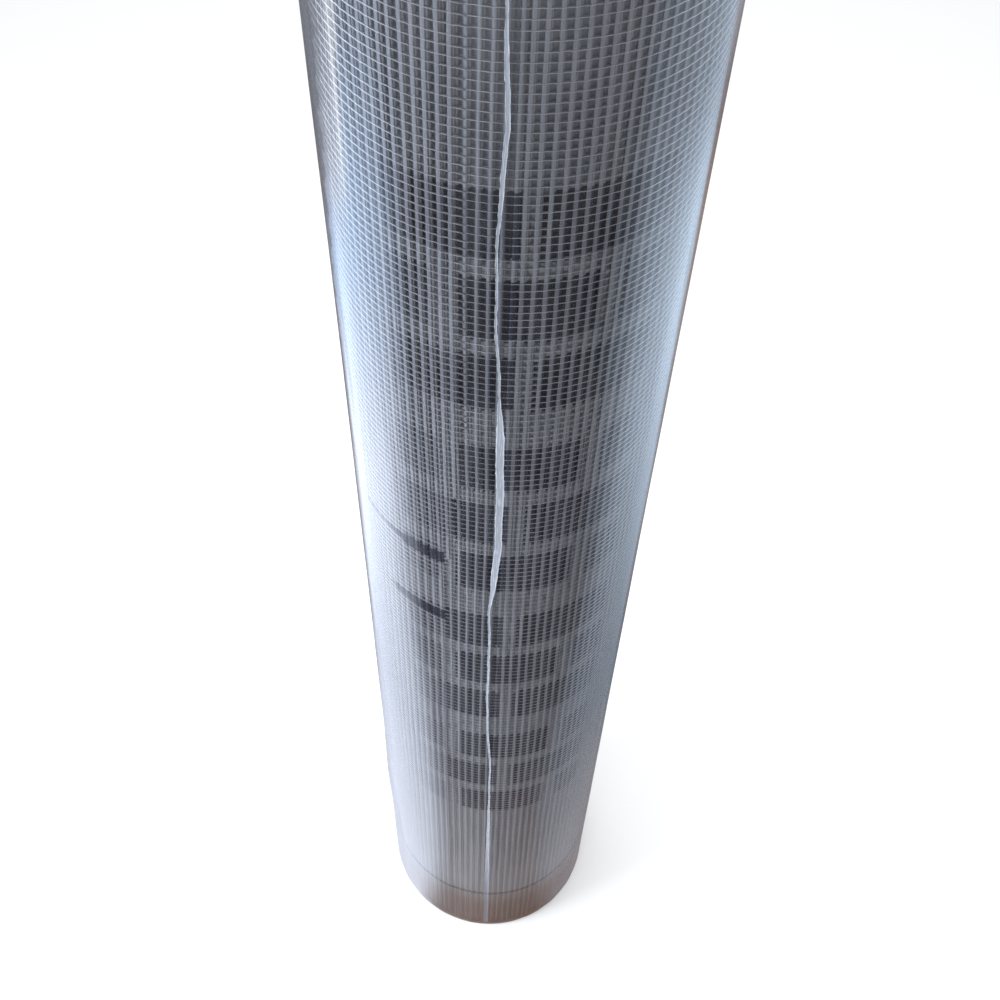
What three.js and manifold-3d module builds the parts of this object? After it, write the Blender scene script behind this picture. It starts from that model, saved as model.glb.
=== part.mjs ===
// A roll of coated glass-fibre reinforcing mesh, stood on one end in the clear shrink film
// that it is sold in. The mesh is wound on itself round an open bore. The film is a tube,
// welded along one line into a flat fin, and shrunk over both rims of the roll, where it
// leaves a round opening.
// Millimetres, +Z up along the roll's axis. The origin is the centre of the face that the
// roll stands on, and the film's welded fin faces -Y.
import * as THREE from "three";
import { mergeVertices } from "three/addons/utils/BufferGeometryUtils.js";
import Module from "manifold-3d";

// Wound mesh.
const MESH_WIDTH = 1000; // width of the sheet, which is the length of the roll
const ROLL_DIAMETER = 176; // over the outermost turn
const BORE_DIAMETER = 50; // left by the mandrel that the mesh was wound on
const RIM_RADIUS = 2; // soft edge of the outer turns, pressed in by the film
const RING_COUNT = 8; // grooves on each end, one for each bundle of turns
const GROOVE_WIDTH = 1.2;
const GROOVE_DEPTH = 1;

// Clear film.
const FILM_THICKNESS = 0.5;
const FILM_SLACK = 1.2; // how far the tube's wall stands off the mesh, all round
const FILM_END_GAP = 0.3; // between the mesh and the film that is shrunk on its ends
const FILM_OPENING_DIAMETER = 110; // left on each end when the film has shrunk
const FIN_WIDTH = 4; // welded seam, folded flat on the film
const FIN_THICKNESS = 0.6; // how far the folded seam stands proud
const FIN_END_MARGIN = 6; // from each end of the object to the end of the seam

// Smoothness of the curves.
const SEGMENTS = 64;
const RIM_STEPS = 3;

const rollRadius = ROLL_DIAMETER / 2;
const boreRadius = BORE_DIAMETER / 2;
const filmInnerRadius = rollRadius + FILM_SLACK;
const filmOuterRadius = filmInnerRadius + FILM_THICKNESS;
const rollBottom = FILM_THICKNESS + FILM_END_GAP;
const rollTop = rollBottom + MESH_WIDTH;
const objectHeight = rollTop + FILM_END_GAP + FILM_THICKNESS;

const wasm = await Module();
wasm.setup();

// Points on an arc about (r, z), from one angle to another, both in quarter turns from +r.
function arc(r, z, radius, from, to) {
  return Array.from({ length: RIM_STEPS + 1 }, (_, i) => {
    const angle = ((from + ((to - from) * i) / RIM_STEPS) * Math.PI) / 2;
    return new THREE.Vector2(
      r + radius * Math.cos(angle),
      z + radius * Math.sin(angle),
    );
  });
}

// A closed profile of (radius, height) points, turned about the Z axis.
function turned(points) {
  const geometry = new THREE.LatheGeometry([...points, points[0]], SEGMENTS);
  return geometry.rotateX(Math.PI / 2);
}

// The solid that a closed geometry bounds.
function solidOf(geometry) {
  const bare = new THREE.BufferGeometry()
    .setAttribute("position", geometry.getAttribute("position"))
    .setIndex(geometry.getIndex());
  const merged = mergeVertices(bare, 1e-4);
  return new wasm.Manifold(
    new wasm.Mesh({
      numProp: 3,
      vertProperties: merged.attributes.position.array,
      triVerts: new Uint32Array(merged.index.array),
    }),
  );
}

// A geometry made of a solid's own triangles.
function geometryOf(solid) {
  const mesh = solid.getMesh();
  const geometry = new THREE.BufferGeometry();
  geometry.setAttribute(
    "position",
    new THREE.BufferAttribute(new Float32Array(mesh.vertProperties), 3),
  );
  geometry.setIndex(new THREE.BufferAttribute(new Uint32Array(mesh.triVerts), 1));
  const flat = geometry.toNonIndexed();
  flat.computeVertexNormals();
  return flat;
}

// One end of the wound mesh, from the bore to the rim: a flat face with a V groove between
// each two bundles of turns. Depth is positive where the solid lies above the face.
function woundEnd(z, depth) {
  const spacing = (rollRadius - boreRadius) / (RING_COUNT + 1);
  const points = [new THREE.Vector2(boreRadius, z)];
  for (let i = 1; i <= RING_COUNT; i++) {
    const r = boreRadius + i * spacing;
    points.push(new THREE.Vector2(r - GROOVE_WIDTH / 2, z));
    points.push(new THREE.Vector2(r, z + depth));
    points.push(new THREE.Vector2(r + GROOVE_WIDTH / 2, z));
  }
  return points;
}

function woundMesh() {
  const rimCentre = rollRadius - RIM_RADIUS;
  return turned([
    ...woundEnd(rollBottom, GROOVE_DEPTH),
    ...arc(rimCentre, rollBottom + RIM_RADIUS, RIM_RADIUS, -1, 0),
    ...arc(rimCentre, rollTop - RIM_RADIUS, RIM_RADIUS, 0, 1),
    ...woundEnd(rollTop, -GROOVE_DEPTH).reverse(),
  ]);
}

// The film's tube with its two shrunk ends: the outer skin from bottom to top, then the
// inner skin back down. It turns each rim on an arc as high as the mesh's own.
function filmTube() {
  const openingRadius = FILM_OPENING_DIAMETER / 2;
  const inner = RIM_RADIUS + FILM_END_GAP;
  const outer = inner + FILM_THICKNESS;
  const rimCentre = filmOuterRadius - outer;
  const lowCentre = outer;
  const highCentre = objectHeight - outer;
  return turned([
    new THREE.Vector2(openingRadius, 0),
    ...arc(rimCentre, lowCentre, outer, -1, 0),
    ...arc(rimCentre, highCentre, outer, 0, 1),
    new THREE.Vector2(openingRadius, objectHeight),
    new THREE.Vector2(openingRadius, objectHeight - FILM_THICKNESS),
    ...arc(rimCentre, highCentre, inner, 1, 0),
    ...arc(rimCentre, lowCentre, inner, 0, -1),
    new THREE.Vector2(openingRadius, FILM_THICKNESS),
  ]);
}

// The welded seam: a flat strip on the -Y side, rooted in the film's wall.
function seamFin() {
  const root = FILM_THICKNESS / 2;
  const depth = FIN_THICKNESS + root;
  const length = objectHeight - 2 * FIN_END_MARGIN;
  const strip = new THREE.BoxGeometry(FIN_WIDTH, depth, length);
  return strip.translate(
    0,
    -(filmOuterRadius + FIN_THICKNESS - depth / 2),
    objectHeight / 2,
  );
}

function shrinkFilm() {
  return geometryOf(solidOf(filmTube()).add(solidOf(seamFin())));
}

const glassMesh = new THREE.MeshStandardMaterial({
  color: 0xc4c9d2,
  roughness: 0.6,
  metalness: 0,
});
const clearFilm = new THREE.MeshStandardMaterial({
  color: 0xdfe6f0,
  roughness: 0.12,
  metalness: 0,
  transparent: true,
  opacity: 0.3,
});

const meshRoll = new THREE.Mesh(woundMesh(), glassMesh);
meshRoll.name = "mesh_roll";

const filmSleeve = new THREE.Mesh(shrinkFilm(), clearFilm);
filmSleeve.name = "film_sleeve";

const roll = new THREE.Group();
roll.add(meshRoll, filmSleeve);

export default roll;
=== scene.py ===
# %% [markdown]
# # A roll of glass-fibre mesh in clear film
#
# Reinforcing mesh is an open grid of coated glass yarns. A metre-wide sheet of it is wound
# on itself into a roll 18 cm across, printed here and there with dark ink, and slipped
# into a sleeve of clear film. This lesson dresses the plain solids of such a roll: every
# yarn of the outer turns is modelled, the turns below are drawn by a material, and the film
# goes over them all as a thin, wrinkled, glossy shell.
#
# The first cell loads the solids as a fixed frame. All sizes below are in metres.

# %% Load the frame
import math

import bpy
import numpy as np
from mathutils import Euler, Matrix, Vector


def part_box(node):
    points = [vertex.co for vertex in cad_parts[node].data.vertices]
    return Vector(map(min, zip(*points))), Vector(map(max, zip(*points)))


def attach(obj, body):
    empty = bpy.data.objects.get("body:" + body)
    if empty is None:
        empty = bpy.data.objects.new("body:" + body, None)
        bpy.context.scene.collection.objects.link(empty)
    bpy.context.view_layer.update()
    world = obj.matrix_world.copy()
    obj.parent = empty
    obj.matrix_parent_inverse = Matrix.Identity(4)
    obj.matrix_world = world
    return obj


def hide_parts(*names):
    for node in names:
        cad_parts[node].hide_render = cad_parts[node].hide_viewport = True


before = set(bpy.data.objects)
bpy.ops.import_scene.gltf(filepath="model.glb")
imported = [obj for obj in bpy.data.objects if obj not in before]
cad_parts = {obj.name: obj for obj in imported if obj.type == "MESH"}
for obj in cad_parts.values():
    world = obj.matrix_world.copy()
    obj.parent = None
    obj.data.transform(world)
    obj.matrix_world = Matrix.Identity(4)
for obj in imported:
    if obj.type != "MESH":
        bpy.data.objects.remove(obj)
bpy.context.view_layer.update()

mesh_low, mesh_high = (np.array(corner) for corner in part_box("mesh_roll"))
film_high = np.array(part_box("film_sleeve")[1])
ROLL_BOTTOM = mesh_low[2]
ROLL_TOP = mesh_high[2]
ROLL_RADIUS = mesh_high[0]
FILM_RADIUS = film_high[0]
FILM_HEIGHT = film_high[2]
print("mesh from", ROLL_BOTTOM, "to", ROLL_TOP, "radius", ROLL_RADIUS, "film radius", FILM_RADIUS)

# %% [markdown]
# ## The camera
#
# The picture is taken by someone who stands over the roll and looks steeply down its side,
# so the sides run together towards the floor. Such a strong taper comes only from the real
# distance: half a metre out from the axis and 22 cm above the roll's top. The lens and the
# tilt were worked out from the roll's straight sides and its rings.

# %% Camera
CAMERA_PLACE = (0.0, -0.475, 1.221)
CAMERA_TILT = math.radians(35.75)  # from looking straight down
CAMERA_ROLL = math.radians(2.1)
CAMERA_TURN = math.radians(0.16)
CAMERA_LENS = 46.44

camera_data = bpy.data.cameras.new("camera")
camera_data.lens = CAMERA_LENS
camera = bpy.data.objects.new("camera", camera_data)
bpy.context.scene.collection.objects.link(camera)
tilt = Euler((CAMERA_TILT, 0, CAMERA_TURN)).to_matrix()
camera.matrix_world = (tilt @ Euler((0, 0, CAMERA_ROLL)).to_matrix()).to_4x4()
camera.location = CAMERA_PLACE
bpy.context.scene.camera = camera
print("camera", tuple(round(x, 3) for x in camera.location), "lens", camera_data.lens)

# %% [markdown]
# ## Small helpers for materials
#
# Every finish below is a node tree, and each tree is mostly arithmetic on a point's place.
# A few short helpers keep that readable: they start a material, add a node, do arithmetic,
# blend colours and give a point's place. A point's place comes from Object coordinates, so a
# pattern stays put on the piece from every side.

# %% Material helpers
def new_material(name):
    """An empty material: its node tree, and its output node."""
    material = bpy.data.materials.new(name)
    material.use_nodes = True
    tree = material.node_tree
    tree.nodes.clear()
    output = tree.nodes.new("ShaderNodeOutputMaterial")
    return material, tree, output


def add_node(tree, kind, settings=None, **inputs):
    """A node of a kind, with its settings, and each input set to a value or joined to a socket."""
    node = tree.nodes.new(kind)
    for name, value in (settings or {}).items():
        setattr(node, name, value)
    for name, value in inputs.items():
        socket = node.inputs[name.replace("_", " ")]
        if isinstance(value, bpy.types.NodeSocket):
            tree.links.new(value, socket)
        else:
            socket.default_value = value
    return node


def maths(tree, operation, *values):
    """The output of a Math node that does one operation on numbers or sockets."""
    node = tree.nodes.new("ShaderNodeMath")
    node.operation = operation
    for socket, value in zip(node.inputs, values):
        if isinstance(value, bpy.types.NodeSocket):
            tree.links.new(value, socket)
        else:
            socket.default_value = value
    return node.outputs[0]


def product(tree, first, *factors):
    """The product of several numbers or sockets, as a chain of Math nodes."""
    total = first
    for factor in factors:
        total = maths(tree, "MULTIPLY", total, factor)
    return total


def ramp(tree, value, low, high, out_low=0.0, out_high=1.0):
    """A Map Range: value from low to high becomes out_low to out_high, smoothly, and stops there."""
    node = add_node(tree, "ShaderNodeMapRange", {"interpolation_type": "SMOOTHSTEP"})
    tree.links.new(value, node.inputs["Value"])
    node.inputs["From Min"].default_value = low
    node.inputs["From Max"].default_value = high
    node.inputs["To Min"].default_value = out_low
    node.inputs["To Max"].default_value = out_high
    return node.outputs["Result"]


def mixed(tree, factor, first, second):
    """A colour between two colours, each a socket or four numbers."""
    node = add_node(tree, "ShaderNodeMix", {"data_type": "RGBA"})
    for socket, value in ((node.inputs[0], factor), (node.inputs[6], first), (node.inputs[7], second)):
        if isinstance(value, bpy.types.NodeSocket):
            tree.links.new(value, socket)
        else:
            socket.default_value = value
    return node.outputs[2]


def place(tree):
    """A point's place on the roll: its height, its angle from the front (-Y) and its coordinates."""
    coordinates = add_node(tree, "ShaderNodeTexCoord").outputs["Object"]
    split = add_node(tree, "ShaderNodeSeparateXYZ", Vector=coordinates)
    x, y, z = split.outputs
    angle = maths(tree, "ARCTAN2", x, maths(tree, "MULTIPLY", y, -1.0))
    return z, angle, coordinates


def round_the_roll(tree, height, angle, radius, along, across):
    """Noise coordinates that follow the wound sheet, scaled by two numbers: round and up the roll."""
    round_scale = maths(tree, "MULTIPLY", angle, radius * along)
    up_scale = maths(tree, "MULTIPLY", height, across)
    return add_node(tree, "ShaderNodeCombineXYZ", X=round_scale, Y=up_scale).outputs[0]


print("helpers ready")

# %% [markdown]
# ## A helper for shapes
#
# All pieces are grids of points worked out by numpy. One helper turns such a grid into a
# Blender mesh: rows and columns of points become four-sided faces. Each row is a ring of
# points, and where the last row joins the first the shape is a closed wall, such as a pipe's.
# Many rods can share one mesh: then the grid gets one more axis in front.

# %% Mesh helper
rng = np.random.default_rng(7)


def add_piece(name, points, quads, caps, slot):
    """A mesh object at the origin from points (n, 3), four-sided faces and any end caps."""
    mesh = bpy.data.meshes.new(name)
    faces = [quads] if caps is None else [quads, caps]
    corners = np.concatenate([group.ravel() for group in faces])
    sizes = np.concatenate([np.full(len(group), group.shape[1]) for group in faces])
    starts = np.concatenate([[0], np.cumsum(sizes)[:-1]])
    mesh.vertices.add(len(points))
    mesh.vertices.foreach_set("co", np.ascontiguousarray(points, dtype=np.float32).ravel())
    mesh.loops.add(len(corners))
    mesh.loops.foreach_set("vertex_index", corners.astype(np.int32))
    mesh.polygons.add(len(sizes))
    mesh.polygons.foreach_set("loop_start", starts.astype(np.int32))
    mesh.polygons.foreach_set("loop_total", sizes.astype(np.int32))
    mesh.polygons.foreach_set("use_smooth", np.full(len(sizes), True))
    mesh.update(calc_edges=True)
    piece = bpy.data.objects.new(name, mesh)
    bpy.context.scene.collection.objects.link(piece)
    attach(piece, "root")
    triangles = int((sizes - 2).sum())
    print(f"{name}: {len(points)} points, {triangles} triangles")
    return piece


def grid_faces(rows, columns, close_rows=False):
    """Faces of a grid of rows by columns of points, numbered row by row. Each row is a ring."""
    row = np.arange(rows if close_rows else rows - 1)
    column = np.arange(columns)
    row, column = (axis.ravel() for axis in np.meshgrid(row, column, indexing="ij"))
    next_row = (row + 1) % rows
    next_column = (column + 1) % columns
    return np.stack(
        [
            row * columns + column,
            row * columns + next_column,
            next_row * columns + next_column,
            next_row * columns + column,
        ],
        axis=1,
    )


def rods(centres, first, second, sides):
    """Closed rods along many paths at once.

    centres is (rods, steps, 3). first and second, of that same shape, reach from the centre
    to the side of the section in two directions, and their cross product points along the
    path. Section point number k is centre + first * cos(t) + second * sin(t), where t is k
    of the sides' share of a full turn. Returns points, side faces and end caps.
    """
    count, steps, _ = centres.shape
    turn = np.arange(sides) * 2 * np.pi / sides
    points = (
        centres[:, :, None]
        + first[:, :, None] * np.cos(turn)[:, None]
        + second[:, :, None] * np.sin(turn)[:, None]
    )
    one = grid_faces(steps, sides)
    offset = (np.arange(count) * steps * sides)[:, None, None]
    quads = (one[None] + offset).reshape(-1, 4)
    start = np.arange(sides)[::-1]
    end = (steps - 1) * sides + np.arange(sides)
    caps = (np.stack([start, end])[None] + offset).reshape(-1, sides)
    return points.reshape(-1, 3), quads, caps


print("shape helpers ready")

# %% [markdown]
# ## How the sheet winds
#
# Seen from above, the sheet is a spiral. Its free end lies near the front, a little to the
# left, and the outermost turn runs from there to the left and round the back. A place on
# the sheet is given by the number of turns from the free end and the height. The spiral's
# radius falls by one sheet's thickness a turn, and that small change shifts the lengthwise
# yarns of each turn against those of the turn above, which draws the bands seen on it.

# %% The wound sheet
OUTER_RADIUS = ROLL_RADIUS - 0.0005  # middle of the outermost turn's sheet
TURN_PITCH = 0.00045
WEFT_PITCH = 0.005  # flat yarns along the roll
WARP_PITCH = 0.0043  # thin yarns round it
SHEET_WIDTH = ROLL_TOP - ROLL_BOTTOM
TURN_LENGTH = 2 * np.pi * OUTER_RADIUS
TURN_SLIP = 0.0012  # how far each lower turn's wefts lie to the right of the outermost turn's
EXTRA_SLIP = 0.0010  # more of it about two thirds of the way up
EXTRA_SLIP_HEIGHT = 0.67
EXTRA_SLIP_REACH = 0.08
FALL_BACK_AT = 2.075  # turns, where the third turn falls back behind the second
FALL_BACK_OVER = 0.02
FILLED_FROM = 0.32  # height at which the lower turns start to fill the squares, going down
FILLED_OVER = 0.14
FREE_END_HEIGHTS = (0.0, 0.60, 0.72, 1.0)
FREE_END_ANGLES = np.radians((-21.5, -20.5, -14.0, -13.0))


def free_end(height):
    """The free end's angle from the front at a height: a cut that wanders between four points."""
    return np.interp(height, FREE_END_HEIGHTS, FREE_END_ANGLES)


def soft_field(length, height, seed, size):
    """A slow wobble of the sheet in metres: a sum of six plain waves of mixed direction.

    Each wave fits a whole number of times round the roll, so that the turns wobble together.
    """
    waves = np.random.default_rng(seed)
    total = 0
    for _ in range(6):
        across = 2 * np.pi * waves.integers(1, 7)
        up = waves.uniform(-18, 18)
        start = waves.uniform(0, 2 * np.pi)
        total = total + np.sin(across * length + up * height + start)
    return total * size / 6


def turn_slip(turn, length, height):
    """How far a turn's wefts lie to the right of the outermost turn's, in metres.

    Two thirds of the way up they slip a little further, to the middle of the squares. The
    third turn starts the same distance further to the right and falls back behind the second.
    Near the foot each turn slips a third of a square more than the one outside it, so that
    together they fill the squares.
    """
    slip = TURN_SLIP + EXTRA_SLIP * np.exp(-(((height - EXTRA_SLIP_HEIGHT) / EXTRA_SLIP_REACH) ** 2))
    before = np.clip((FALL_BACK_AT - length) / FALL_BACK_OVER, 0, 1)
    third = slip * (1.05 + 0.95 * before)
    filled = np.clip((FILLED_FROM - height) / FILLED_OVER, 0, 1)
    second = slip + filled * (WEFT_PITCH / 3 - slip)
    third = third + filled * (WEFT_PITCH * 2 / 3 - third)
    return (0 * slip, second, third)[turn]


def on_sheet(length, height, lift):
    """Points of the wound sheet, and the outward direction there.

    length is how far a point lies from the front, in turns and to the left, so the angle is
    minus a full turn times length. The radius is the outer radius minus the turn's
    thickness for each turn, plus lift.
    """
    angle = -2 * np.pi * length
    radius = OUTER_RADIUS - TURN_PITCH * length + lift
    outward = np.stack([np.sin(angle), -np.cos(angle), np.zeros_like(angle)], axis=-1)
    points = outward * radius[..., None]
    points[..., 2] = height
    return points, outward


print("one turn is", round(TURN_LENGTH * 1000, 1), "mm, or", round(TURN_LENGTH / WEFT_PITCH, 2), "squares")

# %% [markdown]
# ## The yarns of the outer turns
#
# The mesh is a leno weave. Thin, twisted warp yarns run round the roll, and each passes over
# the flat weft yarns, so it rises and falls by its own thickness once a square. The wefts
# run up the roll as flat ribbons, and their cut ends stand a little past the last warp. An
# image of a grid on one cylinder would show no depth between the turns, so each yarn is a
# thin closed rod, and numpy makes the hundreds of rods of a turn at once.

# %% Warps and wefts
WARP_WIDTH = 0.00048
WARP_DEPTH = 0.00042
WARP_RISE = 0.00018  # over a weft
WEFT_WIDTH = 0.0021
WEFT_DEPTH = 0.00030
WEFT_STUB = 0.0016  # cut ends past the last warp
WOBBLE = 0.0009
JITTER = 0.00007
WEFT_JITTER = 0.00010  # between one weft and the next

warp_count = int((SHEET_WIDTH - 2 * WEFT_STUB) / WARP_PITCH)
warp_heights = ROLL_BOTTOM + (SHEET_WIDTH - (warp_count - 1) * WARP_PITCH) / 2
warp_heights = warp_heights + np.arange(warp_count) * WARP_PITCH
squares_a_turn = TURN_LENGTH / WEFT_PITCH


def warp_rods(start, heights, steps_a_square, sides):
    """Warps at these heights along one turn, from start turns on.

    Along each warp the lift is half its rise times one plus the cosine of its place in the
    square, so that it peaks on each weft.
    """
    steps = int(squares_a_turn * steps_a_square) + 1
    along = start + np.linspace(0, 1, steps)[None, :] + np.zeros((len(heights), 1))
    if start == 0:
        first = -free_end(heights)[:, None] / (2 * np.pi)
        stub = rng.uniform(0.1, 0.7, (len(heights), 1)) / squares_a_turn
        along = first - stub + (along - start) * (1 - first + stub)
    height = heights[:, None] + soft_field(along, heights[:, None], 3, WOBBLE)
    height = height + rng.normal(0, JITTER, height.shape)
    phase = 2 * np.pi * along * squares_a_turn
    lift = WARP_RISE * (0.5 + 0.5 * np.cos(phase))
    centres, outward = on_sheet(along, height, lift)
    up = np.zeros_like(outward)
    up[..., 2] = WARP_WIDTH / 2
    return rods(centres, up, -outward * WARP_DEPTH / 2, sides)


def weft_rods(start, steps, sides):
    """Wefts of one turn, from start turns on: ribbons up the roll, a square apart.

    Where the free end leans over a weft of the outermost turn, that weft starts at the cut.
    """
    first = math.ceil(start * squares_a_turn)
    last = math.ceil((start + 1) * squares_a_turn)
    along = np.arange(first, last)[:, None] / squares_a_turn
    low = np.full_like(along, ROLL_BOTTOM)
    if start == 0:
        cuts = -FREE_END_ANGLES / (2 * np.pi)
        along = along[along[:, 0] > cuts.min()]
        low = np.interp(along, cuts[::-1], FREE_END_HEIGHTS[::-1]) + ROLL_BOTTOM
    low = low + rng.uniform(0, WEFT_STUB, along.shape)
    high = ROLL_TOP - rng.uniform(0, WEFT_STUB, along.shape)
    height = low + (high - low) * np.linspace(0, 1, steps)[None, :]
    sway = soft_field(along, height, 5, WOBBLE) - turn_slip(start, along, height)
    sway = sway + rng.normal(0, JITTER, height.shape) + rng.normal(0, WEFT_JITTER, along.shape)
    along = along + sway / TURN_LENGTH
    centres, outward = on_sheet(along, height, np.zeros_like(along))
    sideways = np.cross(outward, (0, 0, 1))
    return rods(centres, sideways * WEFT_WIDTH / 2, outward * WEFT_DEPTH / 2, sides)


sheet_pieces = []
half = warp_count // 2
for turn, (warp_steps, weft_sides) in enumerate(((2, 6), (0.5, 4), (0.5, 4))):
    groups = [warp_heights[:half], warp_heights[half:]] if warp_steps > 1 else [warp_heights]
    for part, heights in enumerate(groups):
        name = f"warps_turn_{turn + 1}_{part + 1}"
        piece = add_piece(name, *warp_rods(turn, heights, warp_steps, 3), "glass_mesh")
        sheet_pieces.append((piece, turn, "warp"))
    piece = add_piece(f"wefts_turn_{turn + 1}", *weft_rods(turn, 46, weft_sides), "glass_mesh")
    sheet_pieces.append((piece, turn, "weft"))

# %% [markdown]
# ## The turns below
#
# Under three turns of open mesh only glimpses are left of the next ones, so they are one
# smooth body, with the grid drawn and raised by its material. Inside is the open bore. Its
# ends lie a little deeper than the roll's, under the real edges of the turns.

# %% Lower turns
BORE_RADIUS = 0.025
LOWER_RADIUS = OUTER_RADIUS - 3.6 * TURN_PITCH
LOWER_END_DEPTH = 0.0062
END_STEPS = 20
ROUND_STEPS = 144
WALL_STEPS = 24


def end_relief(radius, angle):
    """How far the turns' edges lie below the roll's end, 0 to 3.2 mm: waves of radius and angle.

    The turns slide in bundles when the roll is set down, so the waves are short across the
    roll and long round it.
    """
    bundles = 0.0007 * np.sin(radius * 900 + np.sin(angle + 1.0)) + 0.0005 * np.sin(radius * 2300 + angle)
    return 0.0016 - bundles - 0.0004 * np.sin(radius * 420 + 2 * angle)


def lower_turns():
    """A turned wall with a bore: its profile goes up the outside, in over the top and down the bore."""
    angle = np.arange(ROUND_STEPS) * 2 * np.pi / ROUND_STEPS
    top = ROLL_TOP - LOWER_END_DEPTH
    bottom = ROLL_BOTTOM + LOWER_END_DEPTH
    end_radius = np.linspace(LOWER_RADIUS, BORE_RADIUS, END_STEPS)
    wall = np.linspace(bottom, top, WALL_STEPS)[1:-1]
    radius = np.concatenate([np.full(len(wall), LOWER_RADIUS), end_radius, np.full(len(wall), BORE_RADIUS)])
    radius = np.concatenate([radius, end_radius[::-1]])
    height = np.concatenate([wall, np.full(END_STEPS, top), wall[::-1], np.full(END_STEPS, bottom)])
    ring = radius[:, None]
    turned = angle[None, :]
    points = np.stack([ring * np.sin(turned), -ring * np.cos(turned), height[:, None] + 0 * turned], axis=-1)
    quads = grid_faces(len(radius), ROUND_STEPS, close_rows=True)
    return points.reshape(-1, 3), quads, None


lower = add_piece("lower_turns", *lower_turns(), "glass_mesh")
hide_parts("mesh_roll")

# %% [markdown]
# ## The edges of all turns
#
# On both ends the edges of about 140 turns are real. The last warp of the sheet is one long
# spiral from the outermost turns to the bore, and the cut ends of nearly ten thousand wefts
# stand out of it, one every 5 mm of sheet. The bundles that slid past each other are ridges
# and hollows in both.

# %% Edges of the turns
SPIRAL_FROM = 3.0  # turns; the three outer ones have their own yarns
SPIRAL_TO = (OUTER_RADIUS - BORE_RADIUS) / TURN_PITCH - 0.5
SPIRAL_STEPS = 56  # a turn, at the outside
SPIRAL_DEPTH = 0.0024  # of the last warp under the cut ends
SPIRAL_WIDTH = 0.00034
SPIRAL_JITTER = 0.00012
STUB_ROOT = 0.0012  # how far a cut end starts below the last warp
STUB_SPREAD = 0.0012  # between the longest and the shortest cut end
STUB_LEAN = 0.0006  # turns, to either side


def end_spiral(is_top):
    """The last warp of the sheet on one end, as one rod.

    The steps a turn fall with the square root of the radius, so that each step strays
    equally far from the true curve. The places are read off their running sum.
    """
    fine = np.linspace(SPIRAL_FROM, SPIRAL_TO, 4000)
    density = SPIRAL_STEPS * np.sqrt(1 - TURN_PITCH * fine / OUTER_RADIUS)
    running = np.concatenate([[0], np.cumsum(density[1:] * np.diff(fine))])
    along = np.interp(np.arange(int(running[-1])), running, fine)[None, :]
    ring = OUTER_RADIUS - TURN_PITCH * along
    depth = SPIRAL_DEPTH + end_relief(ring, -2 * np.pi * along) + rng.normal(0, SPIRAL_JITTER, along.shape)
    height = ROLL_TOP - depth if is_top else ROLL_BOTTOM + depth
    centres, outward = on_sheet(along, height, rng.normal(0, 0.00003, along.shape))
    up = np.zeros_like(outward)
    up[..., 2] = WARP_WIDTH / 2
    return rods(centres, up, -outward * SPIRAL_WIDTH / 2, 3)


def end_stubs(is_top):
    """The wefts' cut ends on one end: a three-sided splinter every 5 mm along the sheet.

    The sheet's length from the outside to turn L is 2 pi (R L - P L^2 / 2) for the outer
    radius R and the turn's pitch P, which is solved here for L.
    """
    total = 2 * np.pi * (OUTER_RADIUS * SPIRAL_TO - TURN_PITCH * SPIRAL_TO**2 / 2)
    length = np.arange(int(total / WEFT_PITCH)) * WEFT_PITCH
    along = (OUTER_RADIUS - np.sqrt(OUTER_RADIUS**2 - TURN_PITCH * length / np.pi)) / TURN_PITCH
    along = along[along > SPIRAL_FROM][:, None] + [[0, 0]]
    ring = OUTER_RADIUS - TURN_PITCH * along
    relief = end_relief(ring, -2 * np.pi * along)
    tip = relief * 0.8 + rng.uniform(0, STUB_SPREAD, along.shape)
    depth = np.stack([relief[:, 0] + SPIRAL_DEPTH + STUB_ROOT, tip[:, 1]], axis=1)
    height = ROLL_TOP - depth if is_top else ROLL_BOTTOM + depth
    along = along + rng.normal(0, STUB_LEAN, along.shape) * [[0, 1]]
    centres, outward = on_sheet(along, height, rng.normal(0, 0.0001, along.shape))
    if not is_top:
        centres = centres[:, ::-1]
    sideways = np.cross(outward, (0, 0, 1))
    return rods(centres, sideways * WEFT_WIDTH * 0.6, outward * WEFT_DEPTH / 2, 3)


for end_name, is_top in (("top", True), ("bottom", False)):
    piece = add_piece(f"spiral_{end_name}", *end_spiral(is_top), "glass_mesh")
    sheet_pieces.append((piece, 0, "warp"))
    piece = add_piece(f"cut_ends_{end_name}", *end_stubs(is_top), "glass_mesh")
    sheet_pieces.append((piece, 0, "weft"))

# %% [markdown]
# ## The film sleeve
#
# The film is a welded tube, shrunk with hot air. It bridges between the high spots of the
# roll, stands off a millimetre on the left near the top, and gathers in pleats where it
# turns over the rims. It is one closed shell with an outer and an inner skin, so each
# side gives its own faint reflection, as real film does.

# %% Film shape
FILM_THICKNESS = 0.0002
FILM_OPENING = 0.055
FILM_INSET = 0.0004  # of the smooth wall behind the solid's, as room for the creases
RIM_RADIUS = 0.0028
LEFT_BULGE = 0.0012
FOOT_BULGE = 0.0013
WIDE_CREASE = 0.00012
FINE_CREASE = 0.00008
PLEAT_DEPTH = 0.0003
OPENING_WANDER = 0.004
FILM_ROUND = 160
FILM_UP = 110
RIM_ROWS = 6
LIP_ROWS = 10


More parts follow.
